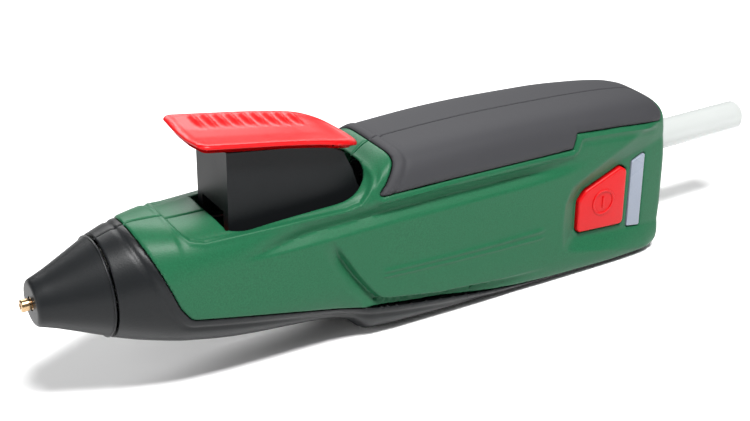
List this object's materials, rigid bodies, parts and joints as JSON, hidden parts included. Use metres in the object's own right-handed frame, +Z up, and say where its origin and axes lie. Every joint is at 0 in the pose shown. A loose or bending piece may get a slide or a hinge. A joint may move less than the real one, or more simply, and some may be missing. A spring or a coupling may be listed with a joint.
{
  "type": "cordless glue gun",
  "caption": "Cordless pen-shaped hot-glue gun with a rear-pivoting thumb lever, a glue stick fed from the tail, a side power button with a light strip, and a flat belly to rest on.",
  "frame": {"origin": "on the rest plane, in the middle of the flat belly the tool stands on", "axes": "+X along the glue axis from the nozzle to the tail, +Z up to the thumb lever, -Y the side with the power button"},
  "size_m": [0.1845, 0.0274, 0.0523],
  "materials": {
    "green_plastic": "satin",
    "black_plastic": "satin",
    "soft_grip": "matte",
    "red_plastic": "satin",
    "brass": "polished",
    "aluminium": "satin",
    "steel": "satin",
    "silicone": "matte",
    "glue": "translucent",
    "board": "matte",
    "cell_wrap": "satin",
    "lens": "satin",
    "ceramic": "matte",
    "white_plastic": "matte"
  },
  "bodies": {
    "housing": {"shell_left": "green_plastic", "shell_right": "green_plastic", "keel": "black_plastic", "grip_left": "soft_grip", "grip_right": "soft_grip", "nose_cone": "black_plastic", "nozzle": "brass", "nozzle_seal": "silicone", "melt_chamber": "aluminium", "heater_plate": "ceramic", "heater_clip": "steel", "inlet_sleeve": "silicone", "stick_guide": "black_plastic", "battery_cell": "cell_wrap", "cell_tab_front": "steel", "cell_tab_rear": "steel", "circuit_board": "board", "button_switch": "steel", "indicator_led": "white_plastic", "indicator_lens": "lens", "charge_socket": "steel", "lever_pivot_pin": "steel", "return_spring": "steel", "heater_lead_plus": "silicone", "heater_lead_minus": "black_plastic", "housing_screw_1": "steel", "housing_screw_2": "steel", "housing_screw_3": "steel", "housing_screw_4": "steel", "housing_screw_5": "steel"},
    "lever": {"lever_frame": "black_plastic", "lever_pad": "red_plastic"},
    "carriage": {"feed_carriage": "black_plastic", "cam_pin_left": "steel", "cam_pin_right": "steel", "jaw_pin": "steel"},
    "jaw": {"grip_jaw": "steel"},
    "button": {"power_button": "red_plastic"},
    "stick": {"glue_stick": "glue"}
  },
  "joints": [
    {"name": "lever_press", "type": "hinge", "parent": "housing", "child": "lever", "pos_m": [-0.0245, 0, 0.0297], "axis": [0, -1, 0], "range_deg": [0, 10], "stiffness_Nm_per_rad": 0.29, "springref_deg": -18.33},
    {"name": "carriage_feed", "type": "slide", "parent": "housing", "child": "carriage", "axis": [-1, 0, 0], "range_m": [0, 0.0054], "deforming": ["return_spring"]},
    {"name": "jaw_rock", "type": "hinge", "parent": "carriage", "child": "jaw", "pos_m": [-0.0405, 0, 0.0299], "axis": [0, 1, 0], "range_deg": [0, 8], "stiffness_Nm_per_rad": 0.02, "springref_deg": -14.32},
    {"name": "button_press", "type": "slide", "parent": "housing", "child": "button", "axis": [0, 1, 0], "range_m": [0, 0.0006], "stiffness_N_per_m": 800, "springref_m": -0.0008},
    {"name": "stick_feed", "type": "slide", "parent": "housing", "child": "stick", "axis": [1, 0, 0], "range_m": [-0.019, 0.12]}
  ],
  "couplings": [
    {"joint": "carriage_feed", "follows": "lever_press", "m_per_rad": 0.030939}
  ]
}
